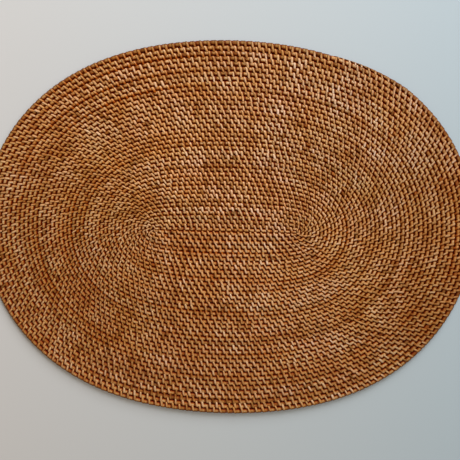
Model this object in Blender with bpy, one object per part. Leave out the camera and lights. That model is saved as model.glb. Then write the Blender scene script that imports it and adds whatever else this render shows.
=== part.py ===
"""An oval placemat of coiled rattan, as one flat solid.

A wrapped cane coil is laid as a long oval spiral. It starts at the right end of a straight middle row,
turns anticlockwise seen from above, and tapers into the rim at the upper right. The top face rises to a
crest along each row and sinks to a groove between rows. The underside is flat.
"""

import math

import bmesh
import bpy
import numpy as np

# Overall size in metres, rim to rim and table to crest
LENGTH = 0.450
WIDTH = 0.3425
THICKNESS = 0.005

# Half the length of the straight middle row
MIDDLE_ROW_HALF = 0.064

# The long sides bow outward row by row, soon at first and then slowly
RIM_BOW = 0.0176
BOW_POWER = 0.64

# How far apart the rows lie near the middle, and how late they widen towards the rim
SIDE_PITCH = 0.0039
SIDE_GROWTH = 4.5
END_PITCH = 0.0033
END_GROWTH = 2.2

# The rim in turns of coil, as the mean of the two ends and the mean of the two sides
END_RIM_TURN = 42.25
SIDE_RIM_TURN = 42.0

# Places along a turn where the surface has points
QUARTER_STEPS = 13
STEPS = 4 * QUARTER_STEPS

# The coil starts blunt at the right end of the middle row and first bends back at its left end
START_STEP = 6
PIVOT_STEP = 2 * QUARTER_STEPS + START_STEP

# The coil ends in its forty-third turn, thinned over its last steps
WHOLE_TURNS = 42
END_STEP = WHOLE_TURNS * STEPS + 10
TAPER_STEPS = 3

# Depth of the grooves between rows below the crests
GROOVE_DEPTH = 0.0011

# The rim's round section, as shares of a row's width from its inner side and as heights
SHOULDER_SHARE = 0.86
SHOULDER_HEIGHT = 0.82 * THICKNESS
BELLY_HEIGHT = 0.48 * THICKNESS
HEEL_HEIGHT = 0.16 * THICKNESS
FOOT_SHARE = 0.66

# Directions in which a quarter of a ring is first worked out, as slopes from its end to its side
SLOPES = np.geomspace(0.001, 1000000.0, 500)

# The finish: honey-brown cane with a soft gloss
CANE_COLOUR = (0.38, 0.175, 0.070, 1.0)
CANE_ROUGHNESS = 0.5
SMOOTH_ANGLE = math.radians(60)


def reach(turn, inner_pitch, growth, rim_reach, rim_turn):
    """How far rows reach after some turns: an even pitch and the widening towards the rim."""
    widening = rim_reach - inner_pitch * rim_turn
    return inner_pitch * turn + widening * (turn / rim_turn) ** growth


def ring_quarter(turn):
    """A quarter of the ring that lies some turns out, from its right end to the middle of its far side.

    The ring is a slim oval as long as the middle row, swept round by a rounder one. The third list says
    how far along each point is: half by its way along the ring and half by how much the ring has turned.
    """
    end_reach = reach(turn, END_PITCH, END_GROWTH, LENGTH / 2 - MIDDLE_ROW_HALF, END_RIM_TURN)
    side_reach = reach(turn, SIDE_PITCH, SIDE_GROWTH, WIDTH / 2, SIDE_RIM_TURN)
    bow = min(RIM_BOW * (turn / SIDE_RIM_TURN) ** BOW_POWER, side_reach / 2)
    rest = side_reach - bow
    slim = np.hypot(MIDDLE_ROW_HALF, bow * SLOPES)
    round_ = np.hypot(end_reach, rest * SLOPES)
    x = MIDDLE_ROW_HALF ** 2 / slim + end_reach ** 2 / round_
    y = bow ** 2 * SLOPES / slim + rest ** 2 * SLOPES / round_
    way = np.append(0.0, np.cumsum(np.hypot(np.diff(x), np.diff(y))))
    turned = np.arctan(SLOPES)
    return x, y, way / way[-1] + turned / turned[-1]


def point(step, turn, height):
    """The point of the mat at a step round its ring, as many turns out from the middle row, at a height."""
    quarter, place = divmod(step % STEPS, QUARTER_STEPS)
    if quarter in (1, 3):
        place = QUARTER_STEPS - place
    x_list, y_list, progress = ring_quarter(max(turn, 0.001))
    share = progress[-1] * place / QUARTER_STEPS
    x = np.interp(share, progress, x_list)
    y = np.interp(share, progress, y_list)
    if quarter in (1, 2):
        x = -x
    if quarter in (2, 3):
        y = -y
    return (x, y, height)


def row_width(step):
    """Width of the coil at a step as a share of its row: whole until it thins out at its end."""
    return min(1.0, (END_STEP - step) / TAPER_STEPS)


def crest_point(step):
    """Top of the coil at a step."""
    width = row_width(step)
    height = THICKNESS - GROOVE_DEPTH * (1.0 - math.sqrt(width))
    return point(step, step / STEPS - 0.5 + 0.5 * width, height)


def groove_point(step):
    """Bottom of the groove on the inner side of the coil at a step."""
    return point(step, step / STEPS - 0.5, THICKNESS - GROOVE_DEPTH)


def rim_point(step, share, height):
    """A point of the rim's round section on the last turn, whose own step is one turn back."""
    coil_step = step - STEPS
    turn = coil_step / STEPS - 0.5 + share * row_width(coil_step)
    return point(step, turn, height)


def centred(points):
    """The points moved so that the middle of the mat's outline is at the origin."""
    points = np.array(points)
    middle = (points.min(axis=0) + points.max(axis=0)) / 2
    middle[2] = 0.0
    return points - middle


def mat_mesh():
    """The closed surface: rows on top, round rim, flat underside."""
    points = []

    def add(place):
        points.append(place)
        return len(points) - 1

    groove = {step: add(groove_point(step)) for step in range(PIVOT_STEP, END_STEP)}
    rim_steps = range(END_STEP, END_STEP + STEPS)
    groove.update({step: add(rim_point(step, SHOULDER_SHARE, SHOULDER_HEIGHT)) for step in rim_steps})
    groove[END_STEP + STEPS] = groove[END_STEP]
    crest = {step: add(crest_point(step)) for step in range(START_STEP, END_STEP)}
    crest[END_STEP] = groove[END_STEP]

    shoulder = [groove[step] for step in rim_steps]
    belly = [add(rim_point(step, 1.0, BELLY_HEIGHT)) for step in rim_steps]
    heel = [add(rim_point(step, SHOULDER_SHARE, HEEL_HEIGHT)) for step in rim_steps]
    foot = [add(rim_point(step, FOOT_SHARE, 0.0)) for step in rim_steps]

    faces = []

    # Round the blunt start of the coil
    for step in range(STEPS - START_STEP, STEPS + START_STEP):
        faces.append((crest[START_STEP], groove[step], groove[step + 1]))

    # From the middle row across its groove to the row below
    for step in range(START_STEP, STEPS - PIVOT_STEP):
        faces.append((crest[step + 1], crest[step], groove[STEPS - step], groove[STEPS - step - 1]))

    # Round the pivot of the first bend
    for step in range(STEPS - PIVOT_STEP, PIVOT_STEP):
        faces.append((crest[step + 1], crest[step], groove[PIVOT_STEP]))

    # Inner side of every later row
    for step in range(PIVOT_STEP, END_STEP):
        faces.append((crest[step + 1], crest[step], groove[step], groove[step + 1]))

    # Outer side of every row
    for step in range(START_STEP, END_STEP):
        faces.append((crest[step], crest[step + 1], groove[step + STEPS + 1], groove[step + STEPS]))

    # The round rim, one band at a time, and the flat underside
    for upper, lower in ((shoulder, belly), (belly, heel), (heel, foot)):
        for index in range(STEPS):
            following = (index + 1) % STEPS
            faces.append((upper[index], upper[following], lower[following], lower[index]))
    faces.append(tuple(foot))

    # Where the coil has thinned to nothing, two corners of a face are one point
    faces = [tuple(dict.fromkeys(face)) for face in faces]
    mesh = bpy.data.meshes.new("coiled_mat")
    mesh.from_pydata(centred(points).tolist(), [], faces)
    return mesh


def cane_material():
    """Plain honey-brown cane."""
    material = bpy.data.materials.new("rattan")
    material.use_nodes = True
    shader = material.node_tree.nodes["Principled BSDF"]
    shader.inputs["Base Color"].default_value = CANE_COLOUR
    shader.inputs["Roughness"].default_value = CANE_ROUGHNESS
    shader.inputs["Metallic"].default_value = 0.0
    return material


def build_mat():
    """The mat as one object, its faces turned outward and its coil shaded smooth."""
    mesh = mat_mesh()
    work = bmesh.new()
    work.from_mesh(mesh)
    bmesh.ops.recalc_face_normals(work, faces=work.faces)
    work.to_mesh(mesh)
    work.free()
    mesh.materials.append(cane_material())
    mesh.shade_smooth()
    mesh.set_sharp_from_angle(angle=SMOOTH_ANGLE)
    mat = bpy.data.objects.new("coiled_mat", mesh)
    bpy.context.scene.collection.objects.link(mat)
    return mat


def main():
    for old in list(bpy.data.objects):
        bpy.data.objects.remove(old)
    build_mat()


if __name__ == "__main__":
    main()
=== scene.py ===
"""The oval placemat of coiled rattan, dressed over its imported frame.

One long cane rod is wound as an oval spiral and bound with split cane. Each stitch unit has a flat wrap
round its row's rod and a raised binding stitch, which reaches over the seam into the row before. The middle
row has no row before it, so a second flat wrap takes the stitch's place there.
"""

import math
from typing import NamedTuple

import bpy
import numpy as np
from bpy.props import FloatProperty, FloatVectorProperty, IntProperty, PointerProperty
from mathutils import Matrix, Vector


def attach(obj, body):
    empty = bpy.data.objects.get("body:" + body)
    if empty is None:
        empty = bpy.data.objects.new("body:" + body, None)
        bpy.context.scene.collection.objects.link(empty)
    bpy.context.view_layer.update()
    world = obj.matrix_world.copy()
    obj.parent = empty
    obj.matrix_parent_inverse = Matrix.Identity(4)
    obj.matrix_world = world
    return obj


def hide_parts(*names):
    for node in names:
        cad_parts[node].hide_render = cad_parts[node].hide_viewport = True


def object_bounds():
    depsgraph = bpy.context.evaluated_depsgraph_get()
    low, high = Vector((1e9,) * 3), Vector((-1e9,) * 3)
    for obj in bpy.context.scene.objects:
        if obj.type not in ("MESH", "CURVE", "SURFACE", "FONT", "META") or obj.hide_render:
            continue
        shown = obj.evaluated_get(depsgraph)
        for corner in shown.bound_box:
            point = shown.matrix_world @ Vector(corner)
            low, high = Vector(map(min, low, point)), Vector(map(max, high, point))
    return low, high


bl_info = {
    "name": "Coiled rattan placemat",
    "version": (1, 0, 0),
    "blender": (4, 5, 0),
    "location": "View3D > Sidebar > Placemat",
    "description": "Builds an oval placemat of coiled cane with its wraps and binding stitches",
    "category": "Object",
}

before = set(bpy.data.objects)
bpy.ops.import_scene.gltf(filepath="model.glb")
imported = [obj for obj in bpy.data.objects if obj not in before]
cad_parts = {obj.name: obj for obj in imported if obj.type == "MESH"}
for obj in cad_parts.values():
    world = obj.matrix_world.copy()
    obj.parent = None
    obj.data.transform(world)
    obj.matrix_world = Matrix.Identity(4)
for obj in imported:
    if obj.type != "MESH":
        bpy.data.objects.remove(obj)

NODE = "coiled_mat"
BODY = "root"
FRAME_BOUNDS = [list(corner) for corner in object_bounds()]
BOX_LOW = np.array(FRAME_BOUNDS[0])
BOX_HIGH = np.array(FRAME_BOUNDS[1])
LENGTH = float(BOX_HIGH[0] - BOX_LOW[0])
WIDTH = float(BOX_HIGH[1] - BOX_LOW[1])

# The spiral's course: how far rows reach after some turns, as in the solid
MIDDLE_ROW_HALF = 0.064
RIM_BOW = 0.0176
BOW_POWER = 0.64
SIDE_PITCH = 0.0039
SIDE_GROWTH = 4.5
END_PITCH = 0.0033
END_GROWTH = 2.2
END_RIM_TURN = 42.25
SIDE_RIM_TURN = 42.0
QUARTER_STEPS = 13
STEPS = 4 * QUARTER_STEPS
START_STEP = 6
WHOLE_TURNS = 42
END_STEP = WHOLE_TURNS * STEPS + 10
TAPER_STEPS = 3
LEAST_TURN = 0.001
SLOPES = np.geomspace(0.001, 1000000.0, 500)

# The spiral is followed at this many places for each step
FINE = 4
FINE_TURN = FINE * STEPS

# The middle row and the first turn end this many turns out
MIDDLE_ROW_TURNS = 0.5
FIRST_TURNS = 1.0

# The least bend of the rod that is counted, in radians for each metre
LEAST_BEND = 0.1

# The radius of a bend round an end of the mat, and how much wider it is where the rod counts as straight
END_BEND_RADIUS = 0.10
STRAIGHT_BLEND = 0.15

# How high the coil's section still is where its width comes to nothing
END_HEIGHT_SHARE = 0.35

# How far towards the middle of a bend a strand may reach, as a share of the bend's radius
INWARD_LIMIT = 0.85

# How many places before and after one turn back are searched for the row inside
SEARCH_REACH = 30

# Place of the first stitch, space left after the last, and how far random drifts go on past the rod's end
FIRST_PLACE = 0.001
LAST_SPACE = 0.0025
DRIFT_MARGIN = 0.1

# How unevenly stitches are laid at first, in the first turn and in later ones, as shares of their pitch
FIRST_TURN_SPREAD = 0.04
LATER_SPREAD = 0.03

# A round of laying stays this many stitches short of the end of the row inside
SHORT_STITCHES = 3

# How often each row's stitches are eased towards their even, bricked places, and how strongly each time
SETTLING_ROUNDS = 80
BRICK_PULL = 0.1
EVEN_PULL = 0.5

# Where a stitch sits between two stitches of the row before it, as a share of the way
SIDE_BRICK_SHARE = 0.57
END_BRICK_SHARE = 0.60

# How far that share wanders along the rod, round the ends and along the sides, and over what distance
END_WANDER = 0.07
SIDE_WANDER = 0.06
WANDER_SPACING = 0.04

# How loosely a stitch keeps its settled place, and how much more loosely round the ends
LOOSENESS = 0.035
END_LOOSENESS = 0.045

# A row's section: the middle of its rod above the table, and the pitch at which the sections are drawn
ROD_MIDDLE = 0.00225
DRAWN_PITCH = 0.00415

# The rod's radius: as a share of the pitch, at most, and the share left at its thinned end
ROD_SHARE = 0.46
ROD_LARGEST = 0.00205
ROD_END_SHARE = 0.12

# The rod is drawn through every second place, with a bevel of this radius, scaled at each, and its steps
ROD_PLACE_STEP = 2
BEVEL_RADIUS = 0.002
BEVEL_STEPS = 2

# The flat wrap: stations round the rod in degrees from its top, outward positive
WRAP_ANGLES = (-90.0, -52.0, -18.0, 18.0, 52.0, 90.0, 135.0, 180.0, 225.0)

# A wrap's four lines: places across its width, and to which share of the wrap's thickness each rises
WRAP_LINES = np.array([-0.5, -0.40, 0.31, 0.5])
WRAP_RISES = np.array([0.7, 1.0, 1.0, 0.0])
WRAP_THICKNESS = 0.0003

# How much fuller than round a wrap is at the corners of its underside
UNDERSIDE_FULLNESS = 0.07

# A wrap's lean, how unevenly wraps are wide, lean and lie high, and how low they may lie
WRAP_LEAN = math.radians(5.0)
WRAP_WIDTH_SPREAD = 0.03
WRAP_LEAN_SPREAD = 0.6
WRAP_HEIGHT_SPREAD = 0.00006
WRAP_LEAST_HEIGHT = 0.0001

# Width of the wraps that take the stitches' place in the middle row, and of the streaks of any wrap
MIDDLE_ROW_WRAP_WIDTH = 0.0020
WRAP_STREAKS_WIDTH = 0.004

# The binding stitch: (place across in pitches, height in metres, share of its full width)
STITCH_COURSE = (
    (-0.97, 0.00340, 0.70),
    (-0.89, 0.00425, 0.82),
    (-0.74, 0.00455, 0.95),
    (-0.50, 0.00450, 1.00),
    (-0.22, 0.00464, 1.00),
    (0.04, 0.00468, 1.00),
    (0.24, 0.00436, 1.00),
    (0.41, 0.00345, 1.00),
    (0.49, 0.00225, 1.00),
    (0.40, 0.00085, 1.00),
    (0.12, 0.00018, 1.00),
    (-0.40, 0.00018, 1.00),
    (-0.72, 0.00110, 0.80),
)

# Its outermost station, past which the strand turns back below the rod
OUTERMOST_STATION = 8

# A stitch's four lines: places across its width, and heights over the middle of the strand
STITCH_LINES = np.array([-0.5, -0.25, 0.25, 0.5])
STITCH_LIFTS = np.array([-0.00030, 0.00014, 0.00014, -0.00030])

# How unevenly stitches are wide, within which range, and how unevenly they lean and lie high
STITCH_WIDTH_SPREAD = 0.10
STITCH_WIDTH_RANGE = (0.7, 1.3)
STITCH_LEAN_SPREAD = math.radians(4.5)
STITCH_HEIGHT_SPREAD = 0.00009

# Round the ends, stitches lean more by this share and lie lower by this height
END_LEAN_SHARE = 0.2
END_SINK = 0.00010

# How far stitches stay short of their course's inner end, in pitches: as a rule, how unevenly, and how
# much more round the ends and in the first turn. It grows from the rod's middle to this far inside it.
SHORTENED = 0.03
SHORTENED_SPREAD = 0.05
END_SHORTENED = 0.17
FIRST_TURN_SHORTENED = 0.30
SHORTENED_BLEND = 0.9


class Strand(NamedTuple):
    """How wraps or stitches look.

    They have a hue, a lightness round the mat's ends, which is painted shade, and a spread of lightness
    from one to the next. Each of a strand's four lines is open to the light by a share, which paints shade
    into its colour and is eased towards 1 round the mat's ends.
    A closed strand runs all the way round the rod.
    """

    hue: tuple
    end_painted_lightness: float
    light_spread: float
    line_openness: tuple
    end_easing: float
    closed: bool


# The flat wraps are a little more golden than the stitches, which are a little pinker
WRAP = Strand(
    hue=(0.98, 1.015, 0.94),
    end_painted_lightness=1.015,
    light_spread=0.13,
    line_openness=(0.9, 1.0, 0.95, 0.55),
    end_easing=0.6,
    closed=True,
)
STITCH = Strand(
    hue=(1.0, 1.0, 0.98),
    end_painted_lightness=0.925,
    light_spread=0.165,
    line_openness=(0.78, 1.0, 1.0, 0.78),
    end_easing=0.5,
    closed=False,
)

# How light wraps and stitches are along the sides; their lower lightness round the ends is painted shade
SIDE_PAINTED_LIGHTNESS = 1.085

# How strongly red, green and blue follow a change of lightness, for the cane's own tones and for painted
# light and shade alike: darker cane is also browner
STAIN_AND_SHADE_POWERS = np.array([0.82, 1.106, 1.70])

# How strongly red, green and blue follow a warmer and a more bleached strand
WARM_PULL = np.array([0.3, -0.6, -1.4])
BLEACHED_PULL = np.array([0.0, 0.2, 1.6])

# Chooses where one strand of cane ends and the next begins, for wraps and stitches alike
STRAND_SEED = 21

# The shortest and longest stretch of rod that one strand binds, and a number of strands that is enough
SHORTEST_STRAND = 0.03
LONGEST_STRAND = 0.30
STRANDS = 601

# How much strands differ in lightness and hue, and single stitches in hue
STRAND_LIGHT_SPREAD = 0.10
STRAND_HUE_SPREAD = 0.018
STITCH_HUE_SPREAD = 0.008

# Shares of wraps and stitches that are much darker or paler than the rest, by how much, and the palest
DARK_SHARE = 0.022
DARK_LIGHT = 0.50
PALE_SHARE = 0.015
PALE_LIGHT = 1.15
PALEST = 1.14

# Each strand's streaks are read up to this far off, across it and along it, and in the pattern's depth
STREAK_SHIFT = 5.0
STREAK_DEPTH = 50.0

# A strand is closed in, and takes full painted seam shade, up to these distances above and below the rod's
# middle, as shares of that middle's own height, and is open to the light this much farther off
CLOSED_ABOVE = 0.75
CLOSED_BELOW = 0.50
OPENING = 0.15

# The outer side of the last turn begins here across its row and is at least this open
BARE_START = 0.1
BARE_OPENNESS = 0.22

# The inner side of a row begins here across it, and counts fully this much farther in
INNER_SIDE_START = 0.10
INNER_SIDE_BLEND = 0.25

# Rows are drawn in more or less tightly, changing over this distance along the rod. The painted seam shade
# on the inner side of a slack row is darker, by this strength times a random value that is held in this
# range.
TIGHTNESS_SEED = 5
TIGHTNESS_SPACING = 0.12
TIGHTNESS_STRENGTH = 0.32
TIGHTNESS_RANGE = (-2.0, 0.2)

# How much darker the last turn is over its crest, and how much more so on its outer side. Each begins
# at a place across the row and counts fully some way farther out.
RIM_CREST_DARKENING = 0.36
RIM_CREST_START = -0.40
RIM_CREST_BLEND = 0.40
RIM_SIDE_DARKENING = 0.46
RIM_SIDE_START = 0.10
RIM_SIDE_BLEND = 0.20

# Small places where the coil has gone dark or lost a stitch: x, y, radius in metres, and how dark
WORN_PLACES = (
    (0.0080, 0.0186, 0.0022, 0.85),
    (0.0040, 0.0180, 0.0016, 0.60),
    (-0.0510, -0.0017, 0.0022, 0.85),
    (-0.0665, -0.0076, 0.0030, 0.45),
    (-0.1805, 0.0057, 0.0022, 0.55),
    (-0.0739, -0.1325, 0.0024, 0.60),
    (-0.0697, -0.0698, 0.0022, 0.60),
    (0.0756, -0.1431, 0.0024, 0.60),
    (0.0947, 0.1505, 0.0022, 0.55),
    (0.0915, 0.1165, 0.0022, 0.55),
    (-0.0129, 0.0146, 0.0020, 0.55),
    (0.0795, -0.0205, 0.0034, 0.45),
    (0.1100, -0.0290, 0.0040, 0.35),
)

# A worn place has faded out at this many times its radius
WORN_EDGE = 1.5

# Broad areas whose cane is browner or paler, partly its own tone and partly painted light and shade, darker
# towards the ends and the bottom and paler towards the top: x, y, half length, half width in metres, and
# how much darker
BROWN_AND_SHADED_AREAS = (
    (0.200, 0.000, 0.045, 0.140, 0.22),
    (0.185, -0.085, 0.055, 0.050, 0.26),
    (0.000, -0.140, 0.200, 0.050, 0.15),
    (-0.110, -0.075, 0.080, 0.050, 0.13),
    (-0.220, 0.005, 0.020, 0.060, 0.18),
    (0.060, -0.018, 0.035, 0.014, 0.08),
    (-0.130, -0.022, 0.040, 0.016, 0.08),
    (0.150, 0.040, 0.020, 0.030, 0.10),
    (-0.010, 0.155, 0.030, 0.014, 0.14),
    (-0.120, 0.090, 0.070, 0.050, -0.06),
    (0.000, 0.050, 0.120, 0.050, -0.12),
    (0.000, -0.100, 0.100, 0.040, 0.10),
    (-0.190, -0.060, 0.025, 0.080, 0.15),
    (0.150, 0.110, 0.030, 0.030, -0.12),
)

# Broad areas of painted light, warm where it makes the cane redder and cool where, negative, it makes it
# greyer: x, y, half length, half width, how much
WARM_AND_COOL_LIGHT_AREAS = (
    (-0.100, 0.080, 0.100, 0.080, 0.07),
    (0.140, 0.080, 0.080, 0.080, -0.09),
    (0.120, -0.120, 0.060, 0.060, -0.06),
)
# How red, green and blue follow the painted warm light
WARM_LIGHT_PULL = np.array([0.3, -0.6, -2.6])

# The cane's streaks: their number in a metre, the part of the pattern used, and the light that it gives
STREAK_SCALE = (2600.0, 150.0, 1.0)
STREAK_USED = (0.25, 0.75)
STREAK_LIGHT = (0.72, 1.22)

# Patches of lighter and darker cane, patches of golden and pinkish cane, and how these lie apart
PATTERN_USED = (0.3, 0.7)
PATCH_SCALE = 36.0
PATCH_LIGHT = (0.80, 1.11)
HUE_SCALE = 28.0
HUE_SHIFT = (3.0, 5.0, 7.0)
PATCH_ROUGHNESS = 0.6
CANE_DETAIL = 3.0

# Places between the painted seam shade's colour and the palest: of the painted shade where the cane turns
# into a seam, of the main cane, and of even light
SHADE_STOP = 0.3
CANE_STOP = 0.62
EVEN_LIGHT_STOP = 0.75

# The cane's sheen and the relief of its streaks
CANE_SPECULAR = 0.18
CANE_SPECULAR_TINT = (1.0, 0.75, 0.44, 1.0)
RELIEF_STRENGTH = 0.5
RELIEF_DEPTH = 0.0001

# The rod: how far from its middle its colour begins and is full, above the painted seam shade, its spots
# and its sheen
ROD_COLOUR_RISE = (0.00105, 0.00205)
ROD_SPOT_SCALE = 900.0
ROD_SPOT_LIGHT = (0.55, 1.0)
ROD_ROUGHNESS = 0.85
ROD_SPECULAR = 0.1

# The floor: its size, the stretch over which its left colour passes into its right one, painted warmer
# light at the left and cooler, dimmer light at the right, and its dullness
FLOOR_SIZE = 6.0
FLOOR_BLEND = (-0.22, 0.22)
FLOOR_ROUGHNESS = 0.8

# The soft warm light from all round
WORLD_COLOUR = (1.0, 0.76, 0.50, 1.0)
WORLD_STRENGTH = 0.30

# The square lights: name, place, point aimed at, size in metres, power in watts, colour
LIGHTS = (
    ("key", (0.367, 1.473, 0.90), (-0.9, 0.3, 0.0), 1.08, 40.0, (1.0, 1.0, 0.99)),
    ("sky", (0.9, 0.1, 1.3), (0.0, 0.0, 0.0), 1.2, 7.0, (0.95, 0.93, 0.90)),
)

# The camera: the point it looks at, its turns from straight down in degrees, its lens and sensor in
# millimetres, and the nearest distance it sees
CAMERA_AIM = (0.0028, 0.0018, 0.0)
CAMERA_TURNS = (("Y", 0.79), ("X", -4.13), ("Z", 1.13))
CAMERA_LENS = 36.0
CAMERA_SENSOR = 36.0
CAMERA_NEAREST = 0.01


def reach(turn, inner_pitch, growth, rim_reach, rim_turn):
    """How far rows reach after some turns: an even pitch and the widening towards the rim."""
    widening = rim_reach - inner_pitch * rim_turn
    return inner_pitch * turn + widening * (turn / rim_turn) ** growth


def ring_quarter(turn):
    """A quarter of the ring that lies some turns out, and how far along it each point is."""
    end_reach = reach(turn, END_PITCH, END_GROWTH, LENGTH / 2 - MIDDLE_ROW_HALF, END_RIM_TURN)
    side_reach = reach(turn, SIDE_PITCH, SIDE_GROWTH, WIDTH / 2, SIDE_RIM_TURN)
    bow = min(RIM_BOW * (turn / SIDE_RIM_TURN) ** BOW_POWER, side_reach / 2)
    rest = side_reach - bow
    slim = np.hypot(MIDDLE_ROW_HALF, bow * SLOPES)
    rounder = np.hypot(end_reach, rest * SLOPES)
    x = MIDDLE_ROW_HALF ** 2 / slim + end_reach ** 2 / rounder
    y = bow ** 2 * SLOPES / slim + rest ** 2 * SLOPES / rounder
    way = np.append(0.0, np.cumsum(np.hypot(np.diff(x), np.diff(y))))
    turned = np.arctan(SLOPES)
    return x, y, way / way[-1] + turned / turned[-1]


def ring_points(steps, turns):
    """Points at some steps round their rings, each as many turns out from the middle row."""
    points = np.empty((len(steps), 2))
    for index, (step, turn) in enumerate(zip(steps, turns)):
        quarter, place = divmod(step % STEPS, QUARTER_STEPS)
        if quarter in (1, 3):
            place = QUARTER_STEPS - place
        x_list, y_list, progress = ring_quarter(max(turn, LEAST_TURN))
        share = progress[-1] * place / QUARTER_STEPS
        x = np.interp(share, progress, x_list)
        y = np.interp(share, progress, y_list)
        points[index, 0] = -x if quarter in (1, 2) else x
        points[index, 1] = -y if quarter in (2, 3) else y
    return points


def rising(value, start, blend):
    """0 up to a start, and rising evenly from there to 1."""
    return np.clip((value - start) / blend, 0.0, 1.0)


class Coil:
    """The spiral as tables along the rod.

    They hold the turns, the place, the outward direction, the pitch, the share of full width and the radius
    of the rod's bend.
    """

    def __init__(self):
        steps = np.arange(START_STEP * FINE, END_STEP * FINE + 1) / FINE
        self.turn = steps / STEPS
        self.width = np.clip((END_STEP - steps) / TAPER_STEPS, 0.0, 1.0)
        middle = ring_points(steps, self.turn)
        outer = ring_points(steps, self.turn + 0.5)
        ahead = np.gradient(middle, axis=0)
        ahead /= np.linalg.norm(ahead, axis=1)[:, None]
        self.out = np.stack([ahead[:, 1], -ahead[:, 0]], axis=1)
        self.pitch = 2 * ((outer - middle) * self.out).sum(axis=1)
        pieces = np.linalg.norm(np.diff(middle, axis=0), axis=1)
        self.along = np.append(0.0, np.cumsum(pieces))
        self.length = float(self.along[-1])
        heading = np.unwrap(np.arctan2(ahead[:, 1], ahead[:, 0]))
        bend = np.abs(np.gradient(heading, self.along))
        self.bend_radius = 1.0 / np.maximum(bend, LEAST_BEND)
        rim = middle + self.out * (self.pitch * (self.width - 0.5))[:, None]
        rim = rim[-FINE_TURN:]
        self.middle = middle - (rim.min(axis=0) + rim.max(axis=0)) / 2

    def at(self, along, table):
        """What a table says at places along the rod."""
        return np.interp(along, self.along, table)

    def on_last_turn(self, along):
        """Whether places along the rod lie on its last turn, which no row follows."""
        return along > self.along[-1 - FINE_TURN]

    def straightness(self, along):
        """0 where the rod bends round an end of the mat, 1 along its sides."""
        return rising(self.at(along, self.bend_radius), END_BEND_RADIUS, STRAIGHT_BLEND)

    def lay(self, along, across, height):
        """Points of the mat from places along the rod, across it in pitches, and heights."""
        pitch = self.at(along, self.pitch)
        width = self.at(along, self.width)
        own = across > -0.5
        across = np.where(own, -0.5 + (across + 0.5) * width, across)
        flattened = END_HEIGHT_SHARE + (1.0 - END_HEIGHT_SHARE) * np.sqrt(width)
        height = np.where(own, ROD_MIDDLE + (height - ROD_MIDDLE) * flattened, height)
        inner_limit = -INWARD_LIMIT * self.at(along, self.bend_radius) / pitch
        across = np.maximum(across, inner_limit)
        x_out = self.at(along, self.out[:, 0])
        y_out = self.at(along, self.out[:, 1])
        size = np.hypot(x_out, y_out)
        x = self.at(along, self.middle[:, 0]) + across * pitch * x_out / size
        y = self.at(along, self.middle[:, 1]) + across * pitch * y_out / size
        return np.stack([x, y, height], axis=-1)

    def row_inside(self):
        """Places on the rod from the second turn on, and the places on the row inside each lies against."""
        inner_side = self.middle - self.out * self.pitch[:, None]
        first = FINE_TURN + SEARCH_REACH
        against = []
        for index in range(first, len(self.along)):
            low = index - first
            window = self.middle[low:low + 2 * SEARCH_REACH]
            gap = np.hypot(*(window - inner_side[index]).T)
            against.append(self.along[low + int(np.argmin(gap))])
        return self.along[first:], np.maximum.accumulate(against)


def brick_share(coil, row, knots, drift):
    """Where stitches of a row sit between two of the row before, as a share of the way."""
    straight = coil.straightness(row)
    wander = END_WANDER + straight * (SIDE_WANDER - END_WANDER)
    share = END_BRICK_SHARE + straight * (SIDE_BRICK_SHARE - END_BRICK_SHARE)
    return share + wander * np.interp(row, knots, drift)


def laying_ends(coil, outer, inner, pitch):
    """How far each round of laying goes: one turn each, and at last two stitches past the rod's end."""
    ends = [outer[0]]
    while ends[-1] < inner[-1] - (SHORT_STITCHES + 1) * pitch:
        ends.append(float(np.interp(ends[-1], inner, outer)) - SHORT_STITCHES * pitch)
    return [*ends[1:], coil.length + 2 * pitch]


def stitch_places(coil, sizes, rng):
    """Where each stitch sits along the rod: at an even pitch, settled between two of the row before it."""
    outer, inner = coil.row_inside()
    knots = np.arange(0.0, coil.length + DRIFT_MARGIN, WANDER_SPACING)
    drift = rng.standard_normal(len(knots))

    def laid(places, end, spread):
        """Stitches from the last place up to an end, at their pitch apart from a spread."""
        row = [places[-1]]
        while row[-1] < end:
            growth = sizes.stitch_growth * coil.at(row[-1], coil.turn) / END_RIM_TURN
            row.append(row[-1] + (sizes.stitch_pitch + growth) * (1.0 + spread * rng.standard_normal()))
        return np.array(row[1:])

    places = np.array([FIRST_PLACE])
    places = np.concatenate([places, laid(places, outer[0], FIRST_TURN_SPREAD)])
    for end in laying_ends(coil, outer, inner, sizes.stitch_pitch):
        row = laid(places, end, LATER_SPREAD)
        for _ in range(SETTLING_ROUNDS):
            beside = np.interp(row, outer, inner)
            index = np.clip(np.searchsorted(places, beside), 1, len(places) - 1)
            before, after = places[index - 1], places[index]
            pull = before + brick_share(coil, row, knots, drift) * (after - before) - beside
            row += BRICK_PULL * np.where(row < coil.length, pull, 0.0)
            around = np.concatenate([places[-1:], row, [2 * row[-1] - row[-2]]])
            row += EVEN_PULL * ((around[:-2] + around[2:]) / 2 - row)
        loose = LOOSENESS + END_LOOSENESS * (1.0 - coil.straightness(row))
        row += loose * sizes.stitch_pitch * rng.standard_normal(len(row))
        places = np.concatenate([places, row])
    return places[places < coil.length - LAST_SPACE]


def tightness(coil, along):
    """How tightly the coil is drawn in at places along the rod: below 0 where it is slack."""
    knots = np.arange(0.0, coil.length + TIGHTNESS_SPACING, TIGHTNESS_SPACING)
    pull = np.random.default_rng(TIGHTNESS_SEED).standard_normal(len(knots))
    return np.interp(along, knots, pull).clip(*TIGHTNESS_RANGE)


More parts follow.
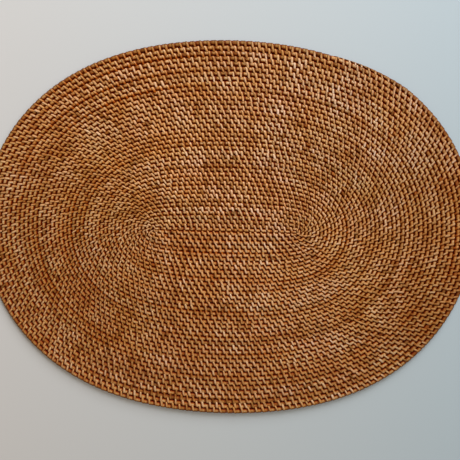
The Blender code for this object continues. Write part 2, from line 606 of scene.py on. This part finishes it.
def openness(coil, along, across, height):
    """How open to the light a point of the coil's skin is: 0 deep in a seam, 1 on a crest or the rim. It
    paints shade into the cane's colour: the less open, the darker.
    """
    from_middle = np.abs(height - ROD_MIDDLE) / ROD_MIDDLE
    opened = rising(from_middle, np.where(height < ROD_MIDDLE, CLOSED_BELOW, CLOSED_ABOVE), OPENING)
    inner_side = rising(-across, INNER_SIDE_START, INNER_SIDE_BLEND)
    opened *= 1.0 + TIGHTNESS_STRENGTH * inner_side * tightness(coil, along)
    bare = coil.on_last_turn(along) & (across > BARE_START)
    return np.where(bare, np.maximum(opened, BARE_OPENNESS), opened)


def stain_and_shade_colour(light):
    """The red, green and blue of cane that is lighter or darker by a share, for its own tone and for
    painted light and shade alike.
    """
    return np.asarray(light)[..., None] ** STAIN_AND_SHADE_POWERS


def tones(places, rng, light_spread):
    """A tint for each place: strands differ a little in hue and lightness, stitches a little more."""
    count = len(places)
    strands = np.random.default_rng(STRAND_SEED)
    changes = np.cumsum(strands.uniform(SHORTEST_STRAND, LONGEST_STRAND, STRANDS - 1))
    strand = np.searchsorted(changes, places)
    strand_light = strands.normal(1.0, STRAND_LIGHT_SPREAD, STRANDS)[strand]
    light = strand_light * rng.normal(1.0, light_spread, count)
    chance = rng.random(count)
    light *= np.where(chance < DARK_SHARE, DARK_LIGHT, 1.0)
    light *= np.where(chance > 1.0 - PALE_SHARE, PALE_LIGHT, 1.0)
    light = np.minimum(light, PALEST)
    warm = strands.normal(0.0, STRAND_HUE_SPREAD, STRANDS)[strand]
    warm += rng.normal(0.0, STITCH_HUE_SPREAD, count)
    bleached = strands.normal(0.0, STRAND_HUE_SPREAD, STRANDS)[strand]
    hue = 1.0 + warm[:, None] * WARM_PULL + bleached[:, None] * BLEACHED_PULL
    return stain_and_shade_colour(light) * hue


def area_share(points, x, y, half_long, half_wide):
    """How much points belong to a soft oval area: 1 in its middle and fading out from there."""
    gap = ((points[..., 0] - x) / half_long) ** 2 + ((points[..., 1] - y) / half_wide) ** 2
    return np.exp(-gap)


def worn_and_painted_light(tint, coil, points, along, across):
    """The tints with the worn places, the browner areas, which are partly painted shade, the painted warm
    and cool light, and the darker last turn.
    """
    light = np.ones(along.shape)
    for x, y, radius, dark in WORN_PLACES:
        gap = np.hypot(points[..., 0] - x, points[..., 1] - y) / radius
        light *= 1.0 - dark * np.clip(WORN_EDGE - gap, 0.0, 1.0)
    for *area, dark in BROWN_AND_SHADED_AREAS:
        light *= 1.0 - dark * area_share(points, *area)
    hue = np.ones(points.shape)
    for *area, red in WARM_AND_COOL_LIGHT_AREAS:
        hue *= 1.0 + red * area_share(points, *area)[..., None] * WARM_LIGHT_PULL
    crest = rising(across, RIM_CREST_START, RIM_CREST_BLEND)
    side = rising(across, RIM_SIDE_START, RIM_SIDE_BLEND)
    rim_light = 1.0 - RIM_CREST_DARKENING * crest - RIM_SIDE_DARKENING * side
    light = np.where(coil.on_last_turn(along), light * rim_light, light)
    return tint * stain_and_shade_colour(light) * hue


def strand_faces(stations, closed):
    """Quads of a strand with four points at each station, from one station to the next and at open ends."""
    faces = []
    spans = stations if closed else stations - 1
    for station in range(spans):
        here = 4 * station
        there = 4 * ((station + 1) % stations)
        for side in range(4):
            other = (side + 1) % 4
            faces.append((here + side, here + other, there + other, there + side))
    if not closed:
        end = 4 * (stations - 1)
        faces.append((3, 2, 1, 0))
        faces.append((end, end + 1, end + 2, end + 3))
    return faces


def strands_piece(name, points, faces, grain, tint):
    """One piece of many like strands, from arrays with one row of points for each strand."""
    count, size = points.shape[:2]
    total = count * len(faces)
    corners = np.array(faces)[None] + (np.arange(count) * size)[:, None, None]
    mesh = bpy.data.meshes.new(name)
    mesh.vertices.add(count * size)
    mesh.vertices.foreach_set("co", points.ravel())
    mesh.loops.add(4 * total)
    mesh.loops.foreach_set("vertex_index", corners.astype(np.int32).ravel())
    mesh.polygons.add(total)
    mesh.polygons.foreach_set("loop_start", np.arange(0, 4 * total, 4, dtype=np.int32))
    mesh.polygons.foreach_set("use_smooth", np.ones(total, dtype=bool))
    mesh.update(calc_edges=True)
    mesh.validate()
    layer = mesh.attributes.new("grain", "FLOAT_VECTOR", "POINT")
    layer.data.foreach_set("vector", grain.ravel())
    layer = mesh.attributes.new("tint", "FLOAT_COLOR", "POINT")
    layer.data.foreach_set("color", tint.ravel())
    piece = bpy.data.objects.new(name, mesh)
    bpy.context.scene.collection.objects.link(piece)
    return piece


def lay_strands(name, coil, middles, course, lines, way, strand, rng):
    """One piece of strands with their streaks, tints and painted seam shade.

    The course gives each strand's places along and across the rod and its heights, at four lines for each
    station. The lines say where those lie across a strand, and the way how far along it its stations are.
    """
    count, stations = len(middles), len(way)
    along, across, height = [axis.reshape(count, -1) for axis in course]
    points = coil.lay(along, across, height)
    grain = np.empty(points.shape)
    grain[..., 0] = np.tile(lines, stations) + rng.uniform(0.0, STREAK_SHIFT, count)[:, None]
    grain[..., 1] = np.repeat(way, len(lines)) + rng.uniform(0.0, STREAK_SHIFT, count)[:, None]
    grain[..., 2] = rng.uniform(0.0, STREAK_DEPTH, count)[:, None]
    bent = 1.0 - coil.straightness(middles)
    # Painted shade round the ends: strands there are darker than along the sides
    light = SIDE_PAINTED_LIGHTNESS + bent * (strand.end_painted_lightness - SIDE_PAINTED_LIGHTNESS)
    tint = tones(middles, rng, strand.light_spread) * stain_and_shade_colour(light) * strand.hue
    tint = worn_and_painted_light(tint[:, None, :], coil, points, along, across)
    # Painted shade: a strand's edges and its points deep in a seam darken its colour, less so round the
    # ends; it rides in the tint's alpha
    edges = np.tile(strand.line_openness, stations)
    opened = openness(coil, along, across, height)
    opened *= edges + strand.end_easing * bent[:, None] * (1.0 - edges)
    tint = np.concatenate([tint, opened[..., None]], axis=-1)
    return strands_piece(name, points, strand_faces(stations, strand.closed), grain, tint)


def new_material(name):
    """A material with its node tree and shader."""
    material = bpy.data.materials.new(name)
    material.use_nodes = True
    return material, material.node_tree, material.node_tree.nodes["Principled BSDF"]


def feed(tree, socket, value):
    """Links an input to another node's output, or sets it to a plain value."""
    if isinstance(value, bpy.types.NodeSocket):
        tree.links.new(value, socket)
    else:
        socket.default_value = value


def noise(tree, vector, scale, detail=2.0, roughness=0.5):
    """A noise pattern."""
    node = tree.nodes.new("ShaderNodeTexNoise")
    feed(tree, node.inputs["Vector"], vector)
    feed(tree, node.inputs["Scale"], scale)
    feed(tree, node.inputs["Detail"], detail)
    feed(tree, node.inputs["Roughness"], roughness)
    return node.outputs["Fac"]


def map_range(tree, value, used=(0.0, 1.0), made=(0.0, 1.0)):
    """A value whose used range is made another range."""
    node = tree.nodes.new("ShaderNodeMapRange")
    feed(tree, node.inputs["Value"], value)
    for name, limit in zip(("From Min", "From Max", "To Min", "To Max"), (*used, *made)):
        feed(tree, node.inputs[name], limit)
    return node.outputs["Result"]


def calculate(tree, operation, *values):
    """What a Math node makes of one or two values."""
    node = tree.nodes.new("ShaderNodeMath")
    node.operation = operation
    for socket, value in zip(node.inputs, values):
        feed(tree, socket, value)
    return node.outputs["Value"]


def mix(tree, blend_type, factor, first, second):
    """Two colours blended by a factor."""
    node = tree.nodes.new("ShaderNodeMix")
    node.data_type = "RGBA"
    node.blend_type = blend_type
    feed(tree, node.inputs["Factor"], factor)
    feed(tree, node.inputs["A"], first)
    feed(tree, node.inputs["B"], second)
    return node.outputs["Result"]


def solid(colour):
    """A colour with full alpha."""
    return (*colour, 1.0)


def cane_material(name, colours):
    """Split cane: streaked along the strand, tinted strand by strand, with painted shade where seams are
    deep.
    """
    material, tree, shader = new_material(name)
    tint = tree.nodes.new("ShaderNodeAttribute")
    tint.attribute_name = "tint"
    grain = tree.nodes.new("ShaderNodeAttribute")
    grain.attribute_name = "grain"
    place = tree.nodes.new("ShaderNodeTexCoord").outputs["Object"]

    # Light and dark, from streaks and patches, and painted shade from how deep in a seam the point is
    stretch = tree.nodes.new("ShaderNodeMapping")
    feed(tree, stretch.inputs["Vector"], grain.outputs["Vector"])
    feed(tree, stretch.inputs["Scale"], STREAK_SCALE)
    streaks = noise(tree, stretch.outputs["Vector"], 1.0, CANE_DETAIL)
    patches = noise(tree, place, PATCH_SCALE, CANE_DETAIL, PATCH_ROUGHNESS)
    streak_light = map_range(tree, streaks, STREAK_USED, STREAK_LIGHT)
    patch_light = map_range(tree, patches, PATTERN_USED, PATCH_LIGHT)
    light = calculate(tree, "MULTIPLY", streak_light, patch_light)
    light = calculate(tree, "MULTIPLY", light, tint.outputs["Alpha"])
    ramp = tree.nodes.new("ShaderNodeValToRGB")
    stops = ramp.color_ramp.elements
    stops[0].color = solid(colours.seam)
    stops[1].color = solid(colours.pale)
    for stop, colour in ((SHADE_STOP, colours.shade), (CANE_STOP, colours.cane)):
        stops.new(stop).color = solid(colour)
    feed(tree, ramp.inputs["Fac"], calculate(tree, "MULTIPLY", light, EVEN_LIGHT_STOP))

    # Golden and pinkish areas
    apart = tree.nodes.new("ShaderNodeVectorMath")
    apart.operation = "ADD"
    feed(tree, apart.inputs[0], place)
    feed(tree, apart.inputs[1], HUE_SHIFT)
    hues = noise(tree, apart.outputs["Vector"], HUE_SCALE, CANE_DETAIL, PATCH_ROUGHNESS)
    pinkness = map_range(tree, hues, PATTERN_USED)
    hue = mix(tree, "MIX", pinkness, solid(colours.golden), solid(colours.pinkish))

    colour = mix(tree, "MULTIPLY", 1.0, ramp.outputs["Color"], tint.outputs["Color"])
    colour = mix(tree, "MULTIPLY", 1.0, colour, hue)
    feed(tree, shader.inputs["Base Color"], colour)
    roughness = map_range(tree, streaks, made=(colours.gloss_low, colours.gloss_high))
    feed(tree, shader.inputs["Roughness"], roughness)
    feed(tree, shader.inputs["Specular IOR Level"], CANE_SPECULAR)
    feed(tree, shader.inputs["Specular Tint"], CANE_SPECULAR_TINT)
    bump = tree.nodes.new("ShaderNodeBump")
    feed(tree, bump.inputs["Height"], streaks)
    feed(tree, bump.inputs["Strength"], RELIEF_STRENGTH)
    feed(tree, bump.inputs["Distance"], RELIEF_DEPTH)
    feed(tree, shader.inputs["Normal"], bump.outputs["Normal"])
    return material


def rod_material(colours):
    """The rod's own peeled cane, seen between the wraps: brown above and below, with painted shade dark in
    the seams.
    """
    material, tree, shader = new_material("rod_cane")
    place = tree.nodes.new("ShaderNodeTexCoord").outputs["Object"]
    parts = tree.nodes.new("ShaderNodeSeparateXYZ")
    feed(tree, parts.inputs["Vector"], place)
    from_middle = calculate(tree, "SUBTRACT", parts.outputs["Z"], ROD_MIDDLE)
    from_middle = calculate(tree, "ABSOLUTE", from_middle)
    rise = map_range(tree, from_middle, ROD_COLOUR_RISE)
    spots = map_range(tree, noise(tree, place, ROD_SPOT_SCALE), PATTERN_USED, ROD_SPOT_LIGHT)
    amount = calculate(tree, "MULTIPLY", rise, spots)
    colour = mix(tree, "MIX", amount, solid(colours.seam), solid(colours.rod))
    feed(tree, shader.inputs["Base Color"], colour)
    feed(tree, shader.inputs["Roughness"], ROD_ROUGHNESS)
    feed(tree, shader.inputs["Specular IOR Level"], ROD_SPECULAR)
    return material


def floor_material(stage):
    """A pale floor with painted light: a little warmer and lighter at the left, cooler and darker at the
    right.
    """
    material, tree, shader = new_material("pale_floor")
    parts = tree.nodes.new("ShaderNodeSeparateXYZ")
    feed(tree, parts.inputs["Vector"], tree.nodes.new("ShaderNodeTexCoord").outputs["Object"])
    rightward = map_range(tree, parts.outputs["X"], FLOOR_BLEND)
    colour = mix(tree, "MIX", rightward, solid(stage.left_floor_painted_light), solid(stage.right_floor_painted_light))
    feed(tree, shader.inputs["Base Color"], colour)
    feed(tree, shader.inputs["Roughness"], FLOOR_ROUGHNESS)
    return material


class PlacematSizes(bpy.types.PropertyGroup):
    """Sizes of the cane work"""

    stitch_pitch: FloatProperty(
        name="Stitch pitch",
        description="Distance along a row from one binding stitch to the next",
        default=0.0055,
        unit="LENGTH",
    )
    stitch_growth: FloatProperty(
        name="Stitch growth",
        description="How much longer the stitch pitch is at the rim than in the middle",
        default=0.0008,
        unit="LENGTH",
    )
    stitch_width: FloatProperty(
        name="Stitch width",
        description="Width of a binding stitch",
        default=0.0023,
        unit="LENGTH",
    )
    stitch_lean: FloatProperty(
        name="Stitch lean",
        description="How far a binding stitch leans from straight across its row",
        default=math.radians(16.0),
        subtype="ANGLE",
    )
    wrap_start: FloatProperty(
        name="Wrap start",
        description="How far past the middle of its stitch a flat wrap begins",
        default=0.0005,
        unit="LENGTH",
    )
    side_clearance: FloatProperty(
        name="Wrap clearance along the sides",
        description="How far before the middle of the next stitch a flat wrap ends, along the mat's sides",
        default=0.0023,
        unit="LENGTH",
    )
    end_clearance: FloatProperty(
        name="Wrap clearance round the ends",
        description="How far before the middle of the next stitch a flat wrap ends, round the mat's ends",
        default=0.0016,
        unit="LENGTH",
    )
    wrap_height: FloatProperty(
        name="Wrap height",
        description="Height of the wraps' crests above the table",
        default=0.0044,
        unit="LENGTH",
    )
    seed: IntProperty(
        name="Seed",
        description="Chooses the small unevenness of the handwork",
        default=7,
        min=0,
    )


class PlacematColours(bpy.types.PropertyGroup):
    """Colours and gloss of the cane"""

    pale: FloatVectorProperty(
        name="Pale cane",
        description="Colour of the palest streaks",
        default=(0.70, 0.53, 0.40),
        size=3,
        subtype="COLOR",
    )
    cane: FloatVectorProperty(
        name="Cane",
        description="Main colour of the split cane",
        default=(0.480, 0.229, 0.076),
        size=3,
        subtype="COLOR",
    )
    # Painted shade: the cane's colour as it turns down into a seam
    shade: FloatVectorProperty(
        name="Shaded cane",
        description="Colour of the cane as it turns down into a seam",
        default=(0.28, 0.060, 0.001),
        size=3,
        subtype="COLOR",
    )
    # Painted shade: the colour deep in the seams between rows, where little light reaches
    seam: FloatVectorProperty(
        name="Seam",
        description="Colour deep in the seams between rows",
        default=(0.135, 0.004, 0.0),
        size=3,
        subtype="COLOR",
    )
    # Partly the rod's own brown and partly painted shade of the narrow slot between two wraps
    rod: FloatVectorProperty(
        name="Rod",
        description="Colour of the inner rod where it shows between two wraps",
        default=(0.20, 0.068, 0.014),
        size=3,
        subtype="COLOR",
    )
    golden: FloatVectorProperty(
        name="Golden areas",
        description="Tint of the areas that have yellowed",
        default=(1.0, 1.015, 0.92),
        size=3,
        subtype="COLOR",
    )
    pinkish: FloatVectorProperty(
        name="Pinkish areas",
        description="Tint of the areas that have greyed and reddened",
        default=(1.0, 0.985, 1.06),
        size=3,
        subtype="COLOR",
    )
    gloss_low: FloatProperty(
        name="Lowest roughness",
        description="Roughness of the smoothest streaks",
        default=0.38,
        min=0.0,
        max=1.0,
        subtype="FACTOR",
    )
    gloss_high: FloatProperty(
        name="Highest roughness",
        description="Roughness of the dullest streaks",
        default=0.62,
        min=0.0,
        max=1.0,
        subtype="FACTOR",
    )


class PlacematStage(bpy.types.PropertyGroup):
    """The floor and the camera"""

    # Painted light: the floor's warmer, lighter colour at the left
    left_floor_painted_light: FloatVectorProperty(
        name="Floor at the left",
        description="Colour of the plain surface at the left of the view",
        default=(0.59, 0.61, 0.64),
        size=3,
        subtype="COLOR",
    )
    # Painted light: the floor's cooler, dimmer colour at the right
    right_floor_painted_light: FloatVectorProperty(
        name="Floor at the right",
        description="Colour of the plain surface at the right of the view",
        default=(0.40, 0.50, 0.58),
        size=3,
        subtype="COLOR",
    )
    camera_distance: FloatProperty(
        name="Camera distance",
        description="Distance from the camera to the point it looks at",
        default=0.42365,
        unit="LENGTH",
    )


def put_in_place(piece):
    """Lets a piece ride on the mat's body and stand for its solid, which is hidden."""
    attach(piece, BODY)
    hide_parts(NODE)


class PLACEMAT_OT_rod(bpy.types.Operator):
    """Winds the long cane rod that the whole mat is coiled from"""

    bl_idname = "placemat.rod"
    bl_label = "Cane rod"

    def execute(self, context):
        coil = Coil()
        along = coil.along[:-1:ROD_PLACE_STEP]
        points = coil.lay(along, np.zeros(len(along)), np.full(len(along), ROD_MIDDLE))
        radius = np.minimum(ROD_SHARE * coil.at(along, coil.pitch), ROD_LARGEST)
        radius *= ROD_END_SHARE + (1.0 - ROD_END_SHARE) * coil.at(along, coil.width)
        curve = bpy.data.curves.new("cane_rod", "CURVE")
        curve.dimensions = "3D"
        spline = curve.splines.new("POLY")
        spline.points.add(len(along) - 1)
        spline.points.foreach_set("co", np.column_stack([points, np.ones(len(along))]).ravel())
        spline.points.foreach_set("radius", radius / BEVEL_RADIUS)
        curve.bevel_depth = BEVEL_RADIUS
        curve.bevel_resolution = BEVEL_STEPS
        curve.use_fill_caps = True
        rod = bpy.data.objects.new("cane_rod", curve)
        context.scene.collection.objects.link(rod)
        bpy.ops.object.select_all(action="DESELECT")
        context.view_layer.objects.active = rod
        rod.select_set(True)
        bpy.ops.object.convert(target="MESH")
        bpy.ops.object.shade_smooth()
        rod = context.view_layer.objects.active
        rod.data.materials.append(rod_material(context.scene.placemat_colours))
        put_in_place(rod)
        return {"FINISHED"}


class PLACEMAT_OT_wraps(bpy.types.Operator):
    """Winds a flat wrap of split cane beside each binding stitch"""

    bl_idname = "placemat.wraps"
    bl_label = "Flat wraps"

    def execute(self, context):
        sizes = context.scene.placemat_sizes
        coil = Coil()
        places = stitch_places(coil, sizes, np.random.default_rng(sizes.seed))
        rng = np.random.default_rng(sizes.seed + 1)
        material = cane_material("wrap_cane", context.scene.placemat_colours)
        gaps = np.diff(np.append(places, 2 * places[-1] - places[-2]))
        straight = coil.straightness(places)
        clearance = sizes.end_clearance + straight * (sizes.side_clearance - sizes.end_clearance)
        centres = places + (gaps + sizes.wrap_start - clearance) / 2
        widths = gaps - sizes.wrap_start - clearance
        in_middle_row = places[coil.at(places, coil.turn) < MIDDLE_ROW_TURNS]
        centres = np.concatenate([centres, in_middle_row])
        widths = np.concatenate([widths, np.full(len(in_middle_row), MIDDLE_ROW_WRAP_WIDTH)])
        halves = np.array_split(np.argsort(centres), 2)
        for name, part in zip(("inner_wraps", "outer_wraps"), halves):
            piece = self.wraps(name, coil, centres[part], widths[part], sizes, rng)
            piece.data.materials.append(material)
            put_in_place(piece)
        return {"FINISHED"}

    def wraps(self, name, coil, centres, widths, sizes, rng):
        """One piece of wraps, from the place of each one's middle and its width."""
        count = len(centres)
        angles = np.radians(WRAP_ANGLES)
        corner = np.where(angles > math.pi / 2, np.abs(np.sin(2 * angles)), 0.0)
        side = np.sin(angles) * (1.0 + UNDERSIDE_FULLNESS * corner)
        lift = np.cos(angles) * (1.0 + UNDERSIDE_FULLNESS * corner)
        half_wide = 0.5 * DRAWN_PITCH
        half_high = sizes.wrap_height - ROD_MIDDLE
        sunk = WRAP_THICKNESS * (1 - WRAP_RISES)
        across = side[:, None] * (half_wide - sunk) / DRAWN_PITCH
        height = ROD_MIDDLE + lift[:, None] * (half_high - sunk)

        width = widths * rng.normal(1.0, WRAP_WIDTH_SPREAD, count)
        lean = math.tan(WRAP_LEAN) * half_wide * side
        leaning = rng.normal(1.0, WRAP_LEAN_SPREAD, count)
        along = centres[:, None, None] + WRAP_LINES * width[:, None, None]
        along = along + lean[:, None] * leaning[:, None, None]
        high = rng.normal(0.0, WRAP_HEIGHT_SPREAD, count)
        height = np.maximum(height + high[:, None, None] * lift[:, None], WRAP_LEAST_HEIGHT)
        course = (along, np.broadcast_to(across, along.shape), height)
        way = np.append(0.0, np.cumsum(np.hypot(np.diff(side), np.diff(lift)))) * half_wide
        lines = WRAP_STREAKS_WIDTH * WRAP_LINES
        return lay_strands(name, coil, centres, course, lines, way, WRAP, rng)


class PLACEMAT_OT_stitches(bpy.types.Operator):
    """Lays the raised binding stitches that hold each row to the one before it"""

    bl_idname = "placemat.stitches"
    bl_label = "Binding stitches"

    def execute(self, context):
        sizes = context.scene.placemat_sizes
        coil = Coil()
        places = stitch_places(coil, sizes, np.random.default_rng(sizes.seed))
        places = places[coil.at(places, coil.turn) >= MIDDLE_ROW_TURNS]
        rng = np.random.default_rng(sizes.seed + 2)
        material = cane_material("stitch_cane", context.scene.placemat_colours)
        names = ("inner_stitches", "middle_stitches", "outer_stitches")
        for name, part in zip(names, np.array_split(places, 3)):
            piece = self.stitches(name, coil, part, sizes, rng)
            piece.data.materials.append(material)
            put_in_place(piece)
        return {"FINISHED"}

    def stitches(self, name, coil, places, sizes, rng):
        """One piece of stitches, from the place of each."""
        count = len(places)
        course = np.array(STITCH_COURSE)
        across_way = course[:, 0] * DRAWN_PITCH
        ahead = np.stack([np.gradient(across_way), np.gradient(course[:, 1])], axis=1)
        ahead /= np.linalg.norm(ahead, axis=1)[:, None]
        normal = np.stack([-ahead[:, 1], ahead[:, 0]], axis=1)
        across = (across_way[:, None] + normal[:, 0:1] * STITCH_LIFTS) / DRAWN_PITCH
        height = course[:, 1:2] + normal[:, 1:2] * STITCH_LIFTS

        bent = 1.0 - coil.straightness(places)
        width = rng.normal(1.0, STITCH_WIDTH_SPREAD, count).clip(*STITCH_WIDTH_RANGE)
        lean = sizes.stitch_lean * (1.0 + END_LEAN_SHARE * bent)
        lean = np.tan(lean + rng.normal(0.0, STITCH_LEAN_SPREAD, count))
        on_top = np.arange(len(course)) <= OUTERMOST_STATION
        outward = np.where(on_top, across_way, 2 * across_way[OUTERMOST_STATION] - across_way)
        lines = STITCH_LINES * sizes.stitch_width
        slide = (outward * lean[:, None])[:, :, None]
        spread = lines * course[:, 2:3] * width[:, None, None]
        along = places[:, None, None] + slide + spread

        shortened = rng.normal(SHORTENED, SHORTENED_SPREAD, count) + END_SHORTENED * bent
        first_turn = coil.at(places, coil.turn) < FIRST_TURNS
        shortened += np.where(first_turn, FIRST_TURN_SHORTENED, 0.0)
        across = across + rising(-across, 0.0, SHORTENED_BLEND) * shortened[:, None, None]
        high = rng.normal(0.0, STITCH_HEIGHT_SPREAD, count) - END_SINK * bent
        height = np.maximum(height + on_top[:, None] * high[:, None, None], 0.0)
        way = np.append(0.0, np.cumsum(np.hypot(np.diff(across_way), np.diff(course[:, 1]))))
        return lay_strands(name, coil, places, (along, across, height), lines, way, STITCH, rng)


class PLACEMAT_OT_stage(bpy.types.Operator):
    """Lays the floor with its painted warm and cool light, and sets the soft lights and the camera"""

    bl_idname = "placemat.stage"
    bl_label = "Stage"

    def execute(self, context):
        scene = context.scene
        stage = scene.placemat_stage
        bpy.ops.object.select_all(action="DESELECT")
        bpy.ops.mesh.primitive_plane_add(size=FLOOR_SIZE, location=(0.0, 0.0, 0.0))
        floor = context.object
        floor.name = "floor"
        floor.data.materials.append(floor_material(stage))

        world = bpy.data.worlds.new("studio")
        world.use_nodes = True
        background = world.node_tree.nodes["Background"]
        background.inputs["Color"].default_value = WORLD_COLOUR
        background.inputs["Strength"].default_value = WORLD_STRENGTH
        scene.world = world
        for light in LIGHTS:
            self.light(*light)

        bpy.ops.object.camera_add()
        camera = context.object
        camera.name = "camera"
        camera.data.lens = CAMERA_LENS
        camera.data.sensor_width = CAMERA_SENSOR
        camera.data.clip_start = CAMERA_NEAREST
        turn = Matrix.Identity(4)
        for axis, degrees in CAMERA_TURNS:
            turn = turn @ Matrix.Rotation(math.radians(degrees), 4, axis)
        place = Vector(CAMERA_AIM) + turn @ Vector((0.0, 0.0, stage.camera_distance))
        camera.matrix_world = Matrix.Translation(place) @ turn
        scene.camera = camera
        scene.view_settings.view_transform = "Standard"
        return {"FINISHED"}

    def light(self, name, place, aim, size, power, colour):
        """One square light, turned towards the point it is aimed at."""
        bpy.ops.object.light_add(type="AREA", location=place)
        lamp = bpy.context.object
        lamp.name = name
        lamp.data.size = size
        lamp.data.energy = power
        lamp.data.color = colour
        lamp.rotation_euler = (Vector(aim) - Vector(place)).to_track_quat("-Z", "Y").to_euler()


class PLACEMAT_PT_panel(bpy.types.Panel):
    """Lists the sizes, the colours, the stage and the steps that build the mat"""

    bl_label = "Coiled placemat"
    bl_idname = "PLACEMAT_PT_panel"
    bl_space_type = "VIEW_3D"
    bl_region_type = "UI"
    bl_category = "Placemat"

    def draw(self, context):
        layout = self.layout
        for group in ("placemat_sizes", "placemat_colours", "placemat_stage"):
            holder = getattr(context.scene, group)
            for name in holder.__annotations__:
                layout.prop(holder, name)
        for operator in OPERATORS:
            layout.operator(operator.bl_idname)


OPERATORS = (PLACEMAT_OT_rod, PLACEMAT_OT_wraps, PLACEMAT_OT_stitches, PLACEMAT_OT_stage)
CLASSES = (PlacematSizes, PlacematColours, PlacematStage, *OPERATORS, PLACEMAT_PT_panel)


def register():
    for part in CLASSES:
        bpy.utils.register_class(part)
    bpy.types.Scene.placemat_sizes = PointerProperty(type=PlacematSizes)
    bpy.types.Scene.placemat_colours = PointerProperty(type=PlacematColours)
    bpy.types.Scene.placemat_stage = PointerProperty(type=PlacematStage)


def unregister():
    del bpy.types.Scene.placemat_stage
    del bpy.types.Scene.placemat_colours
    del bpy.types.Scene.placemat_sizes
    for part in reversed(CLASSES):
        bpy.utils.unregister_class(part)


def main():
    """Builds the mat and its stage."""
    register()
    bpy.ops.placemat.rod()
    bpy.ops.placemat.wraps()
    bpy.ops.placemat.stitches()
    bpy.ops.placemat.stage()


if __name__ == "__main__":
    main()
